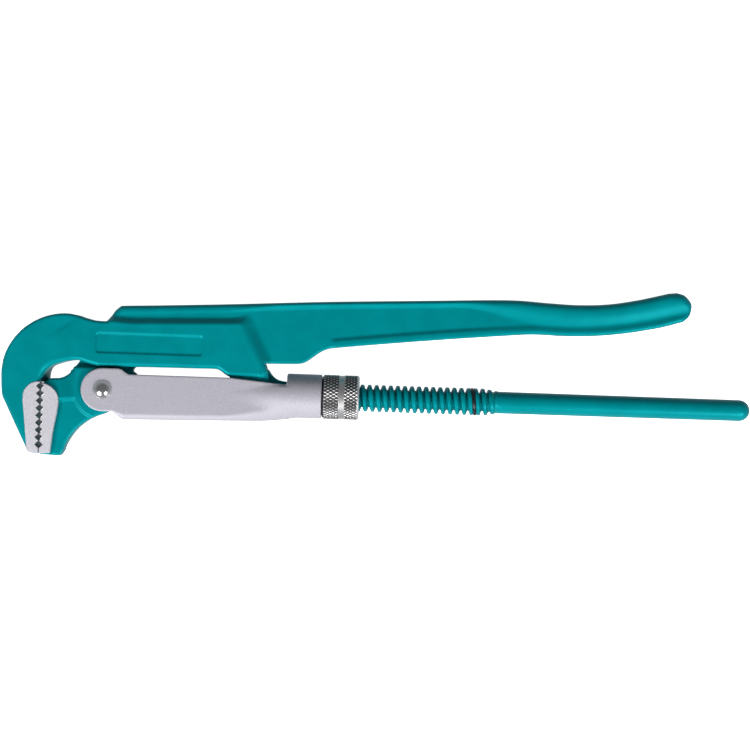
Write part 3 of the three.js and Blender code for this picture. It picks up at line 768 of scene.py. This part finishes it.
def lower_jaw():
    low, high = (-38.0, -41.0, -10.0), (27.0, 26.0, 10.0)
    x, y, z = block(low, high, FINE_VOXEL)
    nose = flowing([(-28.5, -37.8), (-23.9, -38.05), (-22.6, -37.0), (-21.2, -34.6)], 6)
    top = flowing([(4, 12.4), (-15.4, 12.4), (-17.4, 10.6), (-20.8, 7.5), (-24.2, 5.9), (-27.6, 5.6),
        (-30.2, 5.3), (-32.6, 3.6)], 6)
    throat_curve = arc(8.6, -44.1, 31.4, 160, 105, 50)
    cheek = arc(0, 0, 12.3, -60, 70, 40)
    body_outline = [(JAW_CREST_X, 2.4), (JAW_CREST_X, -37.4), *nose, *throat_curve, (4, -11.6), *cheek, *top]
    edge = from_outline(body_outline, x, y)
    hollow_outline = [(-28.5, -60), (-28.0, -14), (-26.0, -7.2), (-22.2, -6.3), (-15.8, -5.2),
        *arc(0, 0, 16.4, 200, 262, 30), (4, -60)]
    hollow_edge = from_outline(hollow_outline, x, y)
    half = CHEEK_HALF - (CHEEK_HALF - HOLLOW_HALF) * ease(-hollow_edge, -0.6, 1.4)
    rising = 1.0 * ease(-x, 15.5, 24.0) * ease(hollow_edge, -0.5, 1.5)
    falling = 0.19 * np.maximum(y + 6.0, 0) * ease(-x, 14.5, 19.0)
    body = plate(edge, z, half + rising - falling, 1.5)
    tongue_edge = flowing([(-17.7, 11.0), (-15.5, 13.6), (-13.7, 16.2), (-10.6, 21.0), (-4.0, 23.0),
        (19.6, 22.4), (22.8, 19.4), (20.9, 15.2), (17.4, 13.3), (16.1, 11.0), (18.2, 9.0), (16.0, 4.5),
        (10.0, -4.0)], 6)
    tongue = plate(from_outline([(-12, 0), (-19, 10), *tongue_edge], x, y), z, TONGUE_HALF, 0.6)
    jaw = forge("lower_jaw_forging", joined(body, tongue, 1.0), low, TEAL_ENAMEL, FINE_VOXEL)
    pad_side = flowing([(-30.4, 1.6), (-28.6, 0.5), (-26.0, -2.2), (-24.6, -6.1), (-25.2, -13.5)], 5)
    pad = [(JAW_CREST_X, 2.5), (-32.4, 2.35), *pad_side, (-27.2, -24.8), (-28.3, -36.4),
        (JAW_CREST_X, -37.0)]
    machine(jaw, [prism("jaw_pad", pad, -PAD_HALF, PAD_HALF, GROUND_STEEL, PAD_CHAMFER)], "UNION")
    cutters = tooth_cutters(JAW_CREST_X, 1)
    cutters.append(round_hole("jaw_hole", 0, 0, GROUND_STEEL))
    machine(jaw, cutters, "DIFFERENCE")
    return jaw


jaw = lower_jaw()
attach(jaw, "lower_jaw")
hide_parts("lower_jaw")


# ---- Adjusting nut ----
# Turned from bar, with two bands of diamond knurl and a smooth groove between them, a neck that turns in
# the yoke's sleeve, and an inner thread to match the bar's. Bright plated.
# The plate's colour carries painted shade in the knurl valleys and on the smooth band, and a painted shadow
# on the nut's left end beside the sleeve.
NUT_START_X = 123.4
NUT_END_X = 144.3
NUT_RADIUS = 12.65
NUT_NECK_RADIUS = 9.7
NUT_NECK_START_X = 112.0
NUT_BORE = 8.0
NUT_PLAY = 0.6  # between the nut's thread and the bar's
KNURLS_AROUND = 40
KNURL_LENGTH = 3.25
KNURL_DEPTH = 0.5
CUTS_A_KNURL = 14
GROOVE_BAND_SHADE = 0.35  # how much painted shade the smooth band between the knurls gets, where a knurl's floor is 1


def bright_plate():
    plated = bpy.data.materials.new("bright_plated")
    plated.use_nodes = True
    shader = shader_of(plated)
    shader.inputs["Metallic"].default_value = 0.9
    vary_roughness(plated, speckle(plated, 800), 0.4, 0.52)
    # Painted shade: the colour runs from bright plate to near black as the painted_shade value rises, so the
    # knurl valleys, the smooth band and the nut's left end are painted darker.
    shade_attribute = add_node(plated, "ShaderNodeAttribute", attribute_name="painted_shade")
    tint(plated, shade_attribute, (0.66, 0.66, 0.665), (0.06, 0.06, 0.062), 0.15, 0.75)
    return plated


def knurl(x, angles):
    """How deep the diamond knurl is cut at x: two sets of grooves that cross, each a sharp vee."""
    around = angles * KNURLS_AROUND / (2 * math.pi)
    one = np.abs(((around + x / KNURL_LENGTH) % 1) - 0.5) * 2
    other = np.abs(((around - x / KNURL_LENGTH) % 1) - 0.5) * 2
    return KNURL_DEPTH * (1 - np.minimum(one, other))


def adjusting_nut():
    sides = KNURLS_AROUND * CUTS_A_KNURL
    angles = np.linspace(0, 2 * math.pi, sides, endpoint=False)
    first, second = (124.5, 132.8), (136.0, 143.2)
    groove_half, groove_radius, end_radius, shoulder_radius = 1.1, 8.8, 11.3, 12.4
    outline = [(NUT_NECK_START_X, NUT_NECK_RADIUS - 0.3), (NUT_NECK_START_X + 0.3, NUT_NECK_RADIUS)]
    outline += [(KEEPER_X - groove_half, radius) for radius in (NUT_NECK_RADIUS, groove_radius)]
    outline += [(KEEPER_X + groove_half, radius) for radius in (groove_radius, NUT_NECK_RADIUS)]
    outline += [(NUT_START_X + 0.02, NUT_NECK_RADIUS), (NUT_START_X, end_radius), (124.3, shoulder_radius)]
    outline += [(x, NUT_RADIUS) for x in np.arange(*first, KNURL_LENGTH / CUTS_A_KNURL)]
    outline += [(132.85, shoulder_radius), (133.1, 12.25), (135.7, 12.25), (135.95, shoulder_radius)]
    outline += [(x, NUT_RADIUS) for x in np.arange(*second, KNURL_LENGTH / CUTS_A_KNURL)]
    outline += [(143.35, 12.5), (144.0, 12.0), (NUT_END_X, end_radius), (NUT_END_X, 9.3)]
    rings, painted_shades = [], []
    for x, radius in outline:
        inside = [band for band in (first, second) if band[0] <= x <= band[1]]
        fade = min([1.0] + [min(x - start, end - x) / 0.3 + 0.2 for start, end in inside])
        cut = knurl(x, angles) * fade if inside and radius == NUT_RADIUS else 0 * angles
        rings.append(ring_of(x, radius - cut, angles))
        between = first[1] < x < second[0]
        # Painted shadow on the neck and on the left end beside the sleeve, painted shade on the smooth band,
        # and painted shade in each knurl valley in step with its depth.
        added_shade = 1.0 if x < first[0] - 0.1 else GROOVE_BAND_SHADE if between else 0.0
        painted_shades.append(cut / KNURL_DEPTH + added_shade)
    for x in np.arange(NUT_END_X - 0.7, NUT_START_X + 2.0, -0.25):
        rings.append(ring_of(x, THREAD_MIDDLE + NUT_PLAY + THREAD_SWELL * thread_wave(x, angles), angles))
    rings += [ring_of(x, NUT_BORE, angles) for x in (NUT_START_X + 1.8, NUT_NECK_START_X)]
    painted_shades += [np.zeros(sides)] * (len(rings) - len(painted_shades))
    turned_nut = looped_skin("adjusting_nut_knurled", rings, BRIGHT_PLATE)
    # The painted shade is stored on each point, where the plate's colour reads it.
    groove = turned_nut.data.attributes.new("painted_shade", "FLOAT", "POINT")
    groove.data.foreach_set("value", np.concatenate(painted_shades))
    return turned_nut


def looped_skin(name, rings, material):
    """A closed skin over rings that run back to the first, as round a tube's wall."""
    rings = np.asarray(rings, float)
    count, sides = rings.shape[:2]
    ring, side = np.meshgrid(np.arange(count), np.arange(sides), indexing="ij")
    here, ahead = ring * sides, (ring + 1) % count * sides
    beside = (side + 1) % sides
    faces = np.stack([here + side, here + beside, ahead + beside, ahead + side], -1)
    points = rings.reshape(-1, 3) * MM + np.array(RIVET_AXIS)
    mesh = bpy.data.meshes.new(name)
    mesh.from_pydata(points.tolist(), [], faces.reshape(-1, 4).tolist())
    mesh.update()
    return finish_mesh(name, mesh, material, sharp=22)


BRIGHT_PLATE = bright_plate()
nut = adjusting_nut()
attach(nut, "adjusting_nut")
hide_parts("adjusting_nut")


# ---- Ring that keeps the nut in the sleeve ----
# A spring wire ring, half in a groove of the nut's neck and half in a groove of the sleeve. The nut
# turns freely and the yoke follows it both ways.
KEEPER_RADIUS = (NUT_NECK_RADIUS + SLEEVE_BORE) / 2
KEEPER_WIRE_RADIUS = 0.7
keeper = wire_ring("nut_keeper_wire", KEEPER_X, KEEPER_RADIUS, advance=0.0, from_turn=0.06, to_turn=0.94,
    wire_radius=KEEPER_WIRE_RADIUS, material=BLACK_WIRE)
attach(keeper, "adjusting_nut")
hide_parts("nut_retaining_ring")
